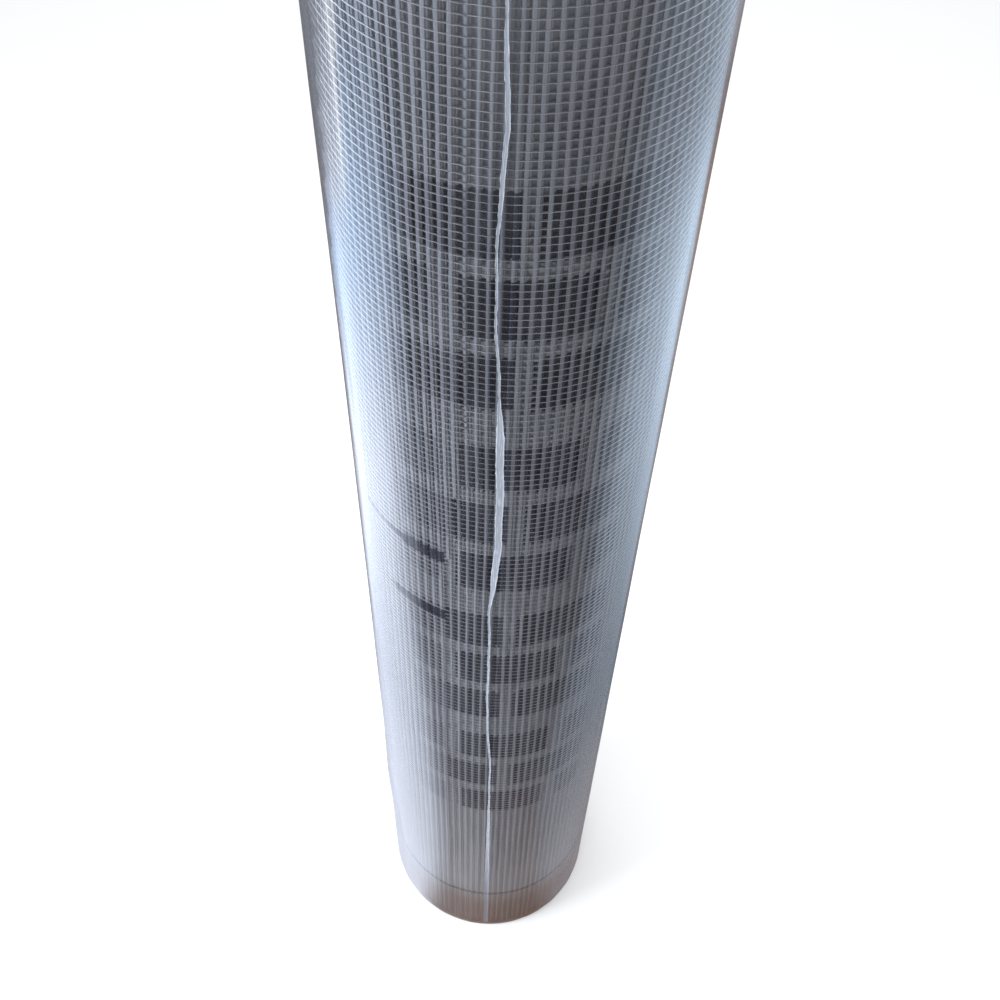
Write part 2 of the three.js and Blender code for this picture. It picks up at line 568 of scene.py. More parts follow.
def film_standoff(angle, height):
    """How far the film stands off its nominal radius: a left bulge, a foot bulge and fine creases."""
    up = np.clip((height - 0.7) / 0.25, 0, 1)
    left = LEFT_BULGE * np.exp(-(((angle + 1.6) / 0.45) ** 2)) * (0.3 + 0.7 * up)
    foot = FOOT_BULGE * np.exp(-(((angle + 1.35) / 0.25) ** 2) - (((height - 0.19) / 0.05) ** 2))
    wide = np.sin(23 * angle + 3 * np.sin(5 * height + 1)) * np.sin(9 * height + 2 * angle)
    fine = np.sin(51 * angle + 6 * height) * np.sin(31 * height + 4 * np.sin(3 * angle))
    return left + foot + WIDE_CREASE * wide + FINE_CREASE * fine


def film_radius(angle, height):
    """The radius of the film's outer skin on its wall."""
    return FILM_RADIUS - FILM_INSET + film_standoff(angle, height)


def film_shell():
    """The film's two skins.

    The profile runs from the lower opening out along the floor, round the lower rim on a
    quarter circle, up the wall, round the upper rim and in again. Each lip is pleated by a
    wave round the opening that grows from the rim inwards. The inner skin is the same
    profile, moved in by the film's thickness.
    """
    wall_radius = FILM_RADIUS - FILM_INSET
    quarter = np.linspace(0, np.pi / 2, RIM_ROWS)
    lip = np.linspace(FILM_OPENING, wall_radius - RIM_RADIUS, LIP_ROWS)[:-1]
    rim_radius = wall_radius - RIM_RADIUS + RIM_RADIUS * np.sin(quarter)
    rim_height = RIM_RADIUS - RIM_RADIUS * np.cos(quarter)
    wall = np.linspace(RIM_RADIUS, FILM_HEIGHT - RIM_RADIUS, FILM_UP)[1:-1]
    radius = np.concatenate([lip, rim_radius, np.full(len(wall), wall_radius), rim_radius[::-1], lip[::-1]])
    height = np.concatenate(
        [0 * lip, rim_height, wall, FILM_HEIGHT - rim_height[::-1], 0 * lip + FILM_HEIGHT]
    )
    on_wall = np.clip((radius - FILM_OPENING) / (wall_radius - FILM_OPENING), 0, 1) ** 2
    angle = np.arange(FILM_ROUND) * 2 * np.pi / FILM_ROUND - np.pi
    turned = angle[None, :]
    across = radius[:, None] + film_standoff(turned, height[:, None]) * on_wall[:, None]
    pleat = (1 - on_wall)[:, None] * (0.5 + 0.5 * np.cos(40 * turned + 9 * np.sin(3 * turned)))
    across = across + OPENING_WANDER * (1 - on_wall)[:, None] * np.sin(7 * turned + 2) * np.cos(4 * turned)
    inwards = np.sign(FILM_HEIGHT / 2 - height)[:, None]
    level = height[:, None] + inwards * PLEAT_DEPTH * pleat
    outer = np.stack([across * np.sin(turned), -across * np.cos(turned), level + 0 * turned], axis=-1)
    slope = np.gradient(np.stack([radius, height], axis=1), axis=0)
    normal = np.stack([slope[:, 1], -slope[:, 0]], axis=1)
    normal = normal / np.linalg.norm(normal, axis=1, keepdims=True)
    across_in = across - FILM_THICKNESS * normal[:, :1]
    level_in = level - FILM_THICKNESS * normal[:, 1:]
    level_in = level_in + 0 * turned
    inner = np.stack([across_in * np.sin(turned), -across_in * np.cos(turned), level_in], axis=-1)
    both = np.concatenate([outer, inner[::-1]])
    quads = grid_faces(len(both), FILM_ROUND, close_rows=True)
    return both.reshape(-1, 3), quads, None


film = add_piece("film", *film_shell(), "clear_film")
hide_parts("film_sleeve")

# %% [markdown]
# ## The film's seam
#
# The sleeve was welded into a tube along one line, and the weld leaves a flat fin that folds
# over on the film. It wanders a few millimetres to either side, opens into a wider strip at
# two places, and its two edges are thick and white. It is one closed ribbon: a section with
# a raised bead on each edge, carried up the roll. How far a point lies from the middle is
# kept as an attribute, from which the finish draws the white edges.

# %% Seam
SEAM_HEIGHTS = (
    0.006, 0.12, 0.30, 0.37, 0.40, 0.46, 0.53, 0.575, 0.60, 0.64,
    0.69, 0.745, 0.78, 0.81, 0.86, 0.89, 0.917, 0.94, 0.9956,
)
SEAM_OFFSETS = (  # in millimetres from the front, positive to the right
    -0.3, -0.5, -1.1, -1.4, -3.3, -4.8, -4.4, -5.1, -3.2, -1.2,
    -1.1, -2.3, -3.5, -5.5, -6.0, -4.7, -3.1, -4.0, -5.5,
)
SEAM_WIDTH_HEIGHTS = (0.0, 0.10, 0.30, 0.58, 0.61, 0.735, 0.765, 0.86, 0.89, 0.945, 0.965, 1.0)
SEAM_HALF_WIDTHS = (2.0, 1.9, 0.7, 0.7, 1.9, 2.1, 0.6, 0.6, 0.95, 0.95, 0.55, 0.55)  # in millimetres
SEAM_THICKNESS = 0.00010
SEAM_BEAD = 0.00022  # how much thicker its edges are
SEAM_STEPS = 700
SEAM_ACROSS = 11


def seam_ribbon():
    """A ribbon that lies on the film, thinnest in its middle and thickest on its edges.

    Across the ribbon, u runs from -1 to 1. The top is the seam's thickness plus its bead
    times u to the sixth, plus waves, and the bottom is a hair over the film. Both edges
    wander by small waves. Returns points, side faces, end faces and each point's u without
    its sign.
    """
    height = np.linspace(SEAM_HEIGHTS[0], SEAM_HEIGHTS[-1], SEAM_STEPS)[:, None]
    middle = np.interp(height, SEAM_HEIGHTS, SEAM_OFFSETS) / 1000
    middle = middle + 0.00014 * np.sin(130 * height) + 0.00006 * np.sin(410 * height + 2)
    half_width = np.interp(height, SEAM_WIDTH_HEIGHTS, SEAM_HALF_WIDTHS) / 1000
    ragged = rng.normal(0, 0.00006, (SEAM_STEPS, 2)) + 0.00007 * np.sin(700 * height + [[0, 2]])
    u_top = np.linspace(-1, 1, SEAM_ACROSS)[None, :]
    u = np.concatenate([u_top, u_top[:, -2:0:-1]], axis=1)
    is_top = np.concatenate([np.ones(SEAM_ACROSS), np.zeros(SEAM_ACROSS - 2)])[None, :]
    across = middle + u * half_width + ragged[:, :1] * (u < -0.9) + ragged[:, 1:] * (u > 0.9)
    crinkle = 0.00006 * np.sin(5 * u + 260 * height) * np.sin(93 * height + 1)
    rise = SEAM_THICKNESS + SEAM_BEAD * u**6 + crinkle + rng.normal(0, 0.000012, u.shape)
    angle = across / FILM_RADIUS
    radius = film_radius(angle, height) + 0.00003 + is_top * rise
    points = np.stack([radius * np.sin(angle), -radius * np.cos(angle), height + 0 * angle], axis=-1)
    sections = u.shape[1]
    quads = grid_faces(SEAM_STEPS, sections)
    ends = np.stack([np.arange(sections)[::-1], (SEAM_STEPS - 1) * sections + np.arange(sections)])
    return points.reshape(-1, 3), quads, ends, np.abs(u + 0 * height).ravel()


seam_points, seam_quads, seam_ends, seam_edge = seam_ribbon()
seam = add_piece("film_seam", seam_points, seam_quads, seam_ends, "clear_film")
edge = seam.data.attributes.new("edge", "FLOAT", "POINT")
edge.data.foreach_set("value", seam_edge.astype(np.float32))

# %% [markdown]
# ## The print
#
# The sheet is printed before it is wound, so the ink is on the yarns only, and it shows
# through the open squares of the turns above. The pattern is arithmetic on the height and
# the angle: rows of blocks in staggered bond, in four groups, each block 64 by 36 mm.

# %% Print pattern
COLUMN_CENTRE = math.radians(6.25)
COLUMN_HALF = 0.068
PRINT_TOP = 0.886
GROUP_PITCH = 0.161
GROUP_COUNT = 4
COURSE_PITCH = 0.048
COURSE_HEIGHT = 0.036
COURSES = 3
BLOCK_PITCH = 0.076
BLOCK_JOINT = 0.012
PRINT_EDGE = 0.0004  # softness of the ink's edges


def between(tree, value, low, high, edge=PRINT_EDGE):
    """1 where value lies between low and high, 0 elsewhere, with a narrow soft edge."""
    rise = ramp(tree, value, low - edge, low + edge)
    fall = ramp(tree, value, high - edge, high + edge, 1.0, 0.0)
    return maths(tree, "MULTIPLY", rise, fall)


def print_mask(tree, height, angle):
    """1 on the printed blocks: courses of blocks in staggered bond, three courses to a group."""
    across = maths(tree, "MULTIPLY", maths(tree, "SUBTRACT", angle, COLUMN_CENTRE), OUTER_RADIUS)
    down = maths(tree, "SUBTRACT", PRINT_TOP, height)
    in_group = maths(tree, "FLOORED_MODULO", down, GROUP_PITCH)
    group = maths(tree, "FLOOR", maths(tree, "DIVIDE", down, GROUP_PITCH))
    course = maths(tree, "FLOOR", maths(tree, "DIVIDE", in_group, COURSE_PITCH))
    in_course = maths(tree, "FLOORED_MODULO", in_group, COURSE_PITCH)
    odd = maths(tree, "FLOORED_MODULO", maths(tree, "ADD", group, course), 2.0)
    shift = maths(tree, "MULTIPLY", odd, BLOCK_PITCH / 2)
    in_block = maths(tree, "FLOORED_MODULO", maths(tree, "ADD", across, shift), BLOCK_PITCH)
    return product(
        tree,
        between(tree, in_block, BLOCK_JOINT / 2, BLOCK_PITCH - BLOCK_JOINT / 2),
        between(tree, in_course, PRINT_EDGE, COURSE_HEIGHT),
        between(tree, in_group, -COURSE_PITCH, COURSES * COURSE_PITCH),
        between(tree, across, -COLUMN_HALF, COLUMN_HALF),
        between(tree, down, 0.0, GROUP_COUNT * GROUP_PITCH),
    )


print("print pattern: courses of blocks, 64 by 36 mm")

# %% [markdown]
# ## The yarns' finish
#
# Coated glass yarn is translucent, satin and faintly streaked along its length. The twisted
# warps are painted paler than the flat wefts, partly as a painted highlight where they stand
# out and catch the light, and the wefts' darker tone is partly painted shade. The warps of
# the lower turns get that darker tone too, as painted shade under the outermost turn, and on
# both flanks of the outermost turn the warps get a painted highlight and the wefts painted
# shade. Ink darkens the yarns of the printed turns, and a little of it shows through the
# wefts of the turn above. One warp near the lower edge is a dark marker thread, which tells
# the right way up.

# %% Yarn finish
# The warps' colours are partly a painted highlight and the wefts' colours partly painted shade; the wefts'
# colours also paint shade on the lower turns' warps.
WARP_COLOUR = (0.37, 0.355, 0.37, 1)
WARP_SHADE = (0.29, 0.28, 0.30, 1)
WEFT_COLOUR = (0.212, 0.217, 0.235, 1)
WEFT_SHADE = (0.178, 0.183, 0.20, 1)
# Painted light on both flanks: a bright painted highlight on the round warps, and darker painted shade on
# the wefts.
FLANK_WARP_HIGHLIGHT = (0.80, 0.79, 0.82, 1)  # round yarns that catch the side light
FLANK_WEFT_SHADE = (0.165, 0.172, 0.195, 1)
INK_COLOUR = (0.022, 0.022, 0.045, 1)
SHOW_THROUGH = 0.32  # of the ink of a turn in the wefts of the turn above
BARED_FROM = -0.36  # radians, where the free end has bared the second turn's warps
MARKER_HEIGHT = 0.079
MARKER_HALF = 0.0027
MARKER_DASH = 0.0095
END_BARS = (0.555, 0.617)  # middles of the two solid bars beside the free end
END_BAR_HALF = 0.0053


def marker_mask(tree, height, angle):
    """1 on the marker thread, a fine dark line round the roll that is broken into dashes."""
    line = between(tree, height, MARKER_HEIGHT - MARKER_HALF, MARKER_HEIGHT + MARKER_HALF, 0.0008)
    arc = maths(tree, "FLOORED_MODULO", maths(tree, "MULTIPLY", angle, OUTER_RADIUS), MARKER_DASH)
    return maths(tree, "MULTIPLY", line, ramp(tree, arc, 0.0012, 0.0035, 0.6, 1.0))


def end_bar_mask(tree, height, angle):
    """1 on two bars that start at the free end and taper away to the left."""
    bars = None
    for middle in END_BARS:
        half = ramp(tree, angle, math.radians(-55), math.radians(-32), 0.0005, END_BAR_HALF)
        off = maths(tree, "ABSOLUTE", maths(tree, "SUBTRACT", height, middle))
        bar = ramp(tree, maths(tree, "SUBTRACT", off, half), -0.0004, 0.0004, 1.0, 0.0)
        bars = bar if bars is None else maths(tree, "MAXIMUM", bars, bar)
    fade = between(tree, angle, math.radians(-62), math.radians(-20.8), 0.004)
    return maths(tree, "MULTIPLY", bars, fade)


def yarn_material(name, kind, print_from=None):
    """Coated glass yarn: pale, satin, streaked along the yarn, and printed from an angle on.

    The warps of the lower turns take the wefts' darker tone as painted shade, but the second
    turn's warps are as pale as the first's where the free end has bared them. On both flanks
    of the outermost turn the warps get a painted highlight and the wefts painted shade.
    """
    material, tree, output = new_material(name)
    height, angle, _ = place(tree)
    along, across = (60, 4000) if kind == "warp" else (4000, 60)
    streak_place = round_the_roll(tree, height, angle, OUTER_RADIUS, along, across)
    streaks = add_node(tree, "ShaderNodeTexNoise", Vector=streak_place, Scale=1.0, Detail=3.0)
    slow_place = round_the_roll(tree, height, angle, OUTER_RADIUS, 40, 25)
    slow = add_node(tree, "ShaderNodeTexNoise", Vector=slow_place, Scale=1.0, Detail=2.0)
    tone = maths(tree, "ADD", streaks.outputs[0], maths(tree, "MULTIPLY", slow.outputs[0], 0.6))
    # Outer warps get the pale tone, partly a painted highlight; wefts and the lower turns' warps get the
    # darker tone, partly painted shade.
    is_pale = kind == "warp" and print_from is None
    pale, shade = (WARP_COLOUR, WARP_SHADE) if is_pale else (WEFT_COLOUR, WEFT_SHADE)
    colour = mixed(tree, ramp(tree, tone, 0.5, 1.1), shade, pale)
    if kind == "warp" and print_from == 0.0:
        bared = between(tree, angle, BARED_FROM, 0.0, 0.01)
        colour = mixed(tree, bared, colour, WARP_COLOUR)
    if print_from is None:
        # On both flanks the outermost turn gets a painted highlight on its warps and painted shade on its
        # wefts.
        flank_lighting = ramp(tree, maths(tree, "ABSOLUTE", angle), 0.45, 0.90)
        colour = mixed(tree, flank_lighting, colour, FLANK_WARP_HIGHLIGHT if is_pale else FLANK_WEFT_SHADE)
    if print_from is not None:
        printed = ramp(tree, angle, print_from - 0.001, print_from + 0.001, SHOW_THROUGH, 1.0)
    else:
        printed = SHOW_THROUGH if kind == "weft" else 0.0
    wear = ramp(tree, streaks.outputs[0], 0.25, 0.5, 0.75, 1.0)
    ink = product(tree, print_mask(tree, height, angle), printed, wear)
    ink = maths(tree, "MAXIMUM", ink, marker_mask(tree, height, angle))
    ink = maths(tree, "MAXIMUM", ink, end_bar_mask(tree, height, angle))
    colour = mixed(tree, ink, colour, INK_COLOUR)
    bump = add_node(tree, "ShaderNodeBump", Height=streaks.outputs[0], Strength=0.35, Distance=0.0001)
    shader = add_node(
        tree,
        "ShaderNodeBsdfPrincipled",
        Base_Color=colour,
        Roughness=ramp(tree, streaks.outputs[0], 0.3, 0.7, 0.42, 0.6),
        Normal=bump.outputs[0],
    )
    tree.links.new(shader.outputs[0], output.inputs[0])
    return material


PRINT_FROM = (None, 0.0, -math.pi)  # by turn: none, right of the front, and all of it
yarn_finishes = {
    (turn, kind): yarn_material(f"{kind}_yarn_{turn + 1}", kind, PRINT_FROM[turn])
    for turn in range(3)
    for kind in ("warp", "weft")
}
for piece, turn, kind in sheet_pieces:
    piece.data.materials.append(yarn_finishes[turn, kind])
print(len(yarn_finishes), "yarn finishes on", len(sheet_pieces), "pieces")

# %% [markdown]
# ## The lower turns' finish
#
# What shows in the squares of the outer turns is the crowd of yarns below. Near the top the
# turns lie tight, and the squares are painted deep and dark, as painted shade. Lower down the
# painted shade thins out and only some squares stay dark; near the foot the squares are
# painted paler still, as painted light, and on both flanks they are painted lighter too. The
# print lies a few millimetres off there, as each turn is a little shorter than the one round
# it, and on the deep turns it is painted darker than the outer ink, as painted shade.

# %% Lower turns' finish
# The first colour is painted shade in the deep squares, the third is painted light near the foot, and the
# deep turns' ink is the print darkened by painted shade.
DEEP_SHADE_COLOUR = (0.120, 0.122, 0.145, 1)
SHALLOW_COLOUR = (0.27, 0.28, 0.295, 1)
FOOT_LIGHT_COLOUR = (0.46, 0.45, 0.45, 1)
DEEP_INK_IN_SHADE = (0.008, 0.006, 0.014, 1)
LOWER_PRINT_SHIFT = 0.045  # radians
LOWER_PRINT_DROP = 0.003
LOWER_WEFT_PITCH = 0.00493  # a hair closer than the outer turns' wefts
LOWER_WEFT_SHIFT = 0.0012


def lower_material():
    """Deeper turns: a colour for each square, with finer yarns in it, and the print shifted a little."""
    material, tree, output = new_material("lower_turns")
    height, angle, coordinates = place(tree)
    x, y, _ = add_node(tree, "ShaderNodeSeparateXYZ", Vector=coordinates).outputs
    from_axis = maths(tree, "SQRT", maths(tree, "MULTIPLY_ADD", x, x, maths(tree, "MULTIPLY", y, y)))
    wound_radius = ramp(tree, from_axis, BORE_RADIUS + 0.001, BORE_RADIUS + 0.002, BORE_RADIUS, OUTER_RADIUS)
    arc = maths(tree, "MULTIPLY", angle, wound_radius)
    up = maths(tree, "SUBTRACT", height, float(warp_heights[0]))
    column = maths(tree, "FLOOR", maths(tree, "DIVIDE", arc, WEFT_PITCH / 2))
    row = maths(tree, "FLOOR", maths(tree, "DIVIDE", up, WARP_PITCH))
    cell = add_node(tree, "ShaderNodeCombineXYZ", X=column, Y=row).outputs[0]
    plane = {"noise_dimensions": "2D"}
    square = add_node(tree, "ShaderNodeTexWhiteNoise", plane, Vector=cell).outputs["Value"]
    patch_place = round_the_roll(tree, height, angle, OUTER_RADIUS, 30, 45)
    patch = add_node(tree, "ShaderNodeTexNoise", Vector=patch_place, Scale=1.0, Detail=2.0).outputs[0]
    dark_square = ramp(tree, maths(tree, "ADD", square, patch), 1.15, 1.3)
    # Near the foot the painted shade of the dark squares thins out, and the squares take a paler colour as
    # painted light.
    foot = ramp(tree, height, 0.14, 0.36, 1.0, 0.0)
    dark_square = maths(tree, "MULTIPLY", dark_square, maths(tree, "MULTIPLY_ADD", foot, -0.8, 1.0))
    light = maths(tree, "SUBTRACT", 1.0, dark_square)
    # Near the top every square is painted dark, as painted shade.
    light = maths(tree, "MULTIPLY", ramp(tree, height, 0.84, 0.92, 1.0, 0.0), light)
    # On both flanks the squares are painted lighter, as painted light.
    flank_lighting = ramp(tree, maths(tree, "ABSOLUTE", angle), 0.55, 0.95, 0.0, 0.7)
    light = maths(tree, "MAXIMUM", light, flank_lighting)
    weft_place = maths(tree, "FLOORED_MODULO", maths(tree, "ADD", arc, LOWER_WEFT_SHIFT), LOWER_WEFT_PITCH)
    lines = between(tree, weft_place, 0.0002, 0.0013, 0.0002)
    ring_place = maths(tree, "FLOORED_MODULO", up, WARP_PITCH)
    lines = maths(tree, "MAXIMUM", lines, between(tree, ring_place, 0.0001, 0.0007, 0.0002))
    light = maths(tree, "ADD", light, maths(tree, "MULTIPLY", lines, 0.18))
    colour = mixed(tree, light, DEEP_SHADE_COLOUR, mixed(tree, foot, SHALLOW_COLOUR, FOOT_LIGHT_COLOUR))
    shifted = maths(tree, "ADD", angle, LOWER_PRINT_SHIFT)
    ink = print_mask(tree, maths(tree, "ADD", height, LOWER_PRINT_DROP), shifted)
    ink = maths(tree, "MAXIMUM", ink, print_mask(tree, height, angle))
    ink = maths(tree, "MAXIMUM", ink, marker_mask(tree, height, angle))
    ink = maths(tree, "MAXIMUM", ink, end_bar_mask(tree, height, angle))
    colour = mixed(tree, maths(tree, "MULTIPLY", ink, 0.95), colour, DEEP_INK_IN_SHADE)
    bump = add_node(tree, "ShaderNodeBump", Height=lines, Strength=0.8, Distance=0.0004)
    shader = add_node(
        tree, "ShaderNodeBsdfPrincipled", Base_Color=colour, Roughness=0.6, Normal=bump.outputs[0]
    )
    tree.links.new(shader.outputs[0], output.inputs[0])
    return material


lower.data.materials.append(lower_material())
print("lower turns: squares of", WEFT_PITCH, "by", WARP_PITCH)

# %% [markdown]
# ## The film's finish
#
# Seen face on the film is nearly invisible, and towards its edges it mirrors more and lets
# less through. On the left, from half way up, it is crumpled and greyer, with a ragged edge.
# Near the foot a warm tint darkens what is under it, most on the front and right: partly the
# tint of the gathered film, partly painted shade and a painted reflection of a brown floor,
# kept off the left, where the side light falls.

# %% Film finish
FOLD_COLOUR = (0.50, 0.51, 0.54, 1)
# A warm tint near the foot: the gathered film's own tint, plus painted shade and a painted reflection of a
# brown floor.
GATHERED_TINT_AND_SHADE = (0.89, 0.81, 0.77, 1)  # near the foot, where the film is gathered
CLEAR_COLOUR = (0.975, 0.98, 0.99, 1)
EDGE_COLOUR = (0.50, 0.47, 0.47, 1)  # seen nearly edge on
MILKY_COLOUR = (0.9, 0.92, 0.96, 1)
FOLD_EDGES = (-1.27, -1.10)  # radians, of the crumpled part's ragged line at these heights
FOLD_EDGE_HEIGHTS = (0.72, 0.97)


def fold_mask(tree, height, angle, ragged):
    """1 on the crumpled part of the film, left of a ragged line that leans outwards going down."""
    line = ramp(tree, height, *FOLD_EDGE_HEIGHTS, *FOLD_EDGES)
    line = maths(tree, "MULTIPLY_ADD", maths(tree, "SUBTRACT", ragged, 0.5), 0.22, line)
    return product(
        tree,
        ramp(tree, maths(tree, "SUBTRACT", angle, line), -0.015, 0.015, 1.0, 0.0),
        ramp(tree, angle, -2.1, -1.9),
        ramp(tree, height, 0.60, 0.86, 0.2, 1.0),
        ramp(tree, height, FILM_HEIGHT - 0.005, FILM_HEIGHT - 0.002, 1.0, 0.0),
    )


def film_material():
    """Clear film: see-through face on, glossy by Fresnel, with a slight milkiness in its creases."""
    material, tree, output = new_material("clear_film")
    height, angle, _ = place(tree)
    crease_place = round_the_roll(tree, height, angle, FILM_RADIUS, 90, 14)
    creases = add_node(tree, "ShaderNodeTexNoise", Vector=crease_place, Scale=1.0, Detail=4.0)
    bump = add_node(tree, "ShaderNodeBump", Height=creases.outputs[0], Strength=0.25, Distance=0.001)
    facing = add_node(tree, "ShaderNodeLayerWeight", Blend=0.5, Normal=bump.outputs[0]).outputs["Facing"]
    through = mixed(tree, ramp(tree, facing, 0.84, 0.99), CLEAR_COLOUR, EDGE_COLOUR)
    ragged_place = round_the_roll(tree, height, angle, FILM_RADIUS, 160, 70)
    ragged = add_node(tree, "ShaderNodeTexNoise", Vector=ragged_place, Scale=1.0, Detail=3.0).outputs[0]
    fold = fold_mask(tree, height, angle, ragged)
    through = mixed(tree, fold, through, FOLD_COLOUR)
    # Near the foot the see-through colour takes the warm tint, partly painted shade and painted reflection,
    # less on the left where the side light falls.
    gathered = ramp(tree, height, 0.045, 0.095, 1.0, 0.0)
    rightwards = ramp(tree, maths(tree, "SINE", angle), -0.75, -0.05, 0.2, 1.0)
    through = mixed(tree, maths(tree, "MULTIPLY", gathered, rightwards), through, GATHERED_TINT_AND_SHADE)
    clear = add_node(tree, "ShaderNodeBsdfTransparent", Color=through)
    milk = add_node(
        tree, "ShaderNodeBsdfPrincipled", Base_Color=MILKY_COLOUR, Roughness=0.3, Normal=bump.outputs[0]
    )
    haze = ramp(tree, creases.outputs[0], 0.35, 0.75, 0.004, 0.018)
    haze = maths(tree, "MULTIPLY_ADD", fold, 0.06, haze)
    haze = maths(tree, "ADD", haze, ramp(tree, height, 0.10, 0.24, 0.03, 0.0))
    body = add_node(tree, "ShaderNodeMixShader")
    tree.links.new(haze, body.inputs[0])
    tree.links.new(clear.outputs[0], body.inputs[1])
    tree.links.new(milk.outputs[0], body.inputs[2])
    gloss = add_node(
        tree, "ShaderNodeBsdfGlossy", Color=(0.95, 0.97, 1.0, 1), Roughness=0.12, Normal=bump.outputs[0]
    )
    fresnel = maths(tree, "MULTIPLY_ADD", maths(tree, "POWER", facing, 5.0), 0.96, 0.04)
    fresnel = maths(tree, "MULTIPLY", fresnel, maths(tree, "MULTIPLY_ADD", fold, -0.65, 1.0))
    surface = add_node(tree, "ShaderNodeMixShader")
    tree.links.new(fresnel, surface.inputs[0])
    tree.links.new(body.outputs[0], surface.inputs[1])
    tree.links.new(gloss.outputs[0], surface.inputs[2])
    tree.links.new(surface.outputs[0], output.inputs[0])
    return material


film.data.materials.append(film_material())
print("film finish: clear, gathered at the foot, crumpled on the left")

# %% [markdown]
# ## The seam's finish
#
# The folded weld is milky, and white where it is thick, on its two edges. The attribute that
# was kept with its shape says how near an edge a point lies, so the white follows the seam
# wherever it wanders. Near the foot the seam lies flat and fades.

# %% Seam finish
SEAM_MIDDLE_COLOUR = (0.58, 0.62, 0.70, 1)
SEAM_EDGE_COLOUR = (0.76, 0.81, 0.88, 1)
SEAM_CLEAR_COLOUR = (0.95, 0.96, 0.98, 1)


def seam_material():
    """The folded weld: milky and half clear in the middle, white and least clear on its edges."""
    material, tree, output = new_material("film_seam")
    height, angle, _ = place(tree)
    edge_value = add_node(tree, "ShaderNodeAttribute", {"attribute_name": "edge"}).outputs["Fac"]
    fold_place = round_the_roll(tree, height, angle, FILM_RADIUS, 1500, 90)
    folds = add_node(tree, "ShaderNodeTexNoise", Vector=fold_place, Scale=1.0, Detail=4.0).outputs[0]
    bump = add_node(tree, "ShaderNodeBump", Height=folds, Strength=0.6, Distance=0.0004)
    whiteness = ramp(tree, edge_value, 0.6, 0.95)
    white = add_node(
        tree,
        "ShaderNodeBsdfPrincipled",
        Base_Color=mixed(tree, whiteness, SEAM_MIDDLE_COLOUR, SEAM_EDGE_COLOUR),
        Roughness=0.22,
        Specular_IOR_Level=1.0,
        Normal=bump.outputs[0],
    )
    clear = add_node(tree, "ShaderNodeBsdfTransparent", Color=SEAM_CLEAR_COLOUR)
    thick = ramp(tree, edge_value, 0.6, 0.95, 0.42, 0.64)
    cover = maths(tree, "ADD", thick, ramp(tree, folds, 0.5, 0.7, 0.0, 0.25))
    cover = maths(tree, "MULTIPLY", cover, ramp(tree, height, 0.07, 0.24, 0.22, 1.0))
    surface = add_node(tree, "ShaderNodeMixShader")
    tree.links.new(maths(tree, "MINIMUM", cover, 1.0), surface.inputs[0])
    tree.links.new(clear.outputs[0], surface.inputs[1])
    tree.links.new(white.outputs[0], surface.inputs[2])
    tree.links.new(surface.outputs[0], output.inputs[0])
    return material


seam.data.materials.append(seam_material())
print("seam finish: white on its edges")

# %% [markdown]
# ## Floor and light
#
# The floor is plain and pale, and a soft light hangs over it. A camera that looks steeply
# down at an upright, glossy roll sees only the floor mirrored in it, and a white floor would
# wash the print out. So, as in a product studio, a card that only reflections see lies on
# the floor: dark in front of the roll, pale blue on its left and right like the light of two
# windows, and a warm grey behind, which draws the roll's edges against the floor.

# %% Floor and light
FLOOR_SIZE = 80.0
FLOOR_DROP = 0.0002  # below the roll's foot
FLOOR_COLOUR = (0.86, 0.86, 0.86, 1)
SKY_COLOUR = (0.93, 0.96, 1.0, 1)
SKY_STRENGTH = 0.55

scene = bpy.context.scene
scene.view_settings.view_transform = "Standard"

floor_mesh = bpy.data.meshes.new("floor")
corners = np.array([[-1, -1, 0], [1, -1, 0], [1, 1, 0], [-1, 1, 0]]) * FLOOR_SIZE / 2
floor_mesh.from_pydata(corners.tolist(), [], [(0, 1, 2, 3)])
floor = bpy.data.objects.new("floor", floor_mesh)
scene.collection.objects.link(floor)
floor.location.z = -FLOOR_DROP
floor_material, floor_tree, floor_output = new_material("studio_floor")
floor_shader = add_node(floor_tree, "ShaderNodeBsdfPrincipled", Base_Color=FLOOR_COLOUR, Roughness=0.7)
floor_tree.links.new(floor_shader.outputs[0], floor_output.inputs[0])
floor_mesh.materials.append(floor_material)

world = bpy.data.worlds.new("studio")
world.use_nodes = True
world.node_tree.nodes["Background"].inputs[0].default_value = SKY_COLOUR
world.node_tree.nodes["Background"].inputs[1].default_value = SKY_STRENGTH
scene.world = world


def soft_light(name, location, aim, size, power, colour, mirrored=True):
    """A rectangular area light at a place, turned to face its aim."""
    data = bpy.data.lights.new(name, "AREA")
    data.shape = "RECTANGLE"
    data.size, data.size_y = size
    data.energy = power
    data.color = colour
    lamp = bpy.data.objects.new(name, data)
    scene.collection.objects.link(lamp)
    lamp.location = location
    lamp.rotation_euler = (Vector(aim) - Vector(location)).to_track_quat("-Z", "Y").to_euler()
    lamp.visible_camera = False
    lamp.visible_glossy = mirrored


soft_light("overhead", (0.0, 0.2, 3.6), (0, 0, 0), (1.6, 1.6), 105, (1, 1, 1))
soft_light("left_window", (-0.75, -0.25, 0.55), (0, 0, 0.5), (0.5, 0.9), 13.0, (0.82, 0.91, 1.0), False)
soft_light("low_fill", (-0.1, -0.75, 0.2), (0, 0, 0.2), (0.4, 0.25), 2.5, (1, 0.98, 0.97), False)
print("floor", FLOOR_SIZE, "m across, and three soft lights")

# %% [markdown]
# ## The mirrored card
#
# The card's brightness is written in the roll's own terms: how far a point lies from the
# roll's axis, and in which direction. What is mirrored high on the roll lies far out, and
# what is mirrored near the foot lies close. What is mirrored on the flanks lies to the
# sides, and what is mirrored at the very edges lies behind.

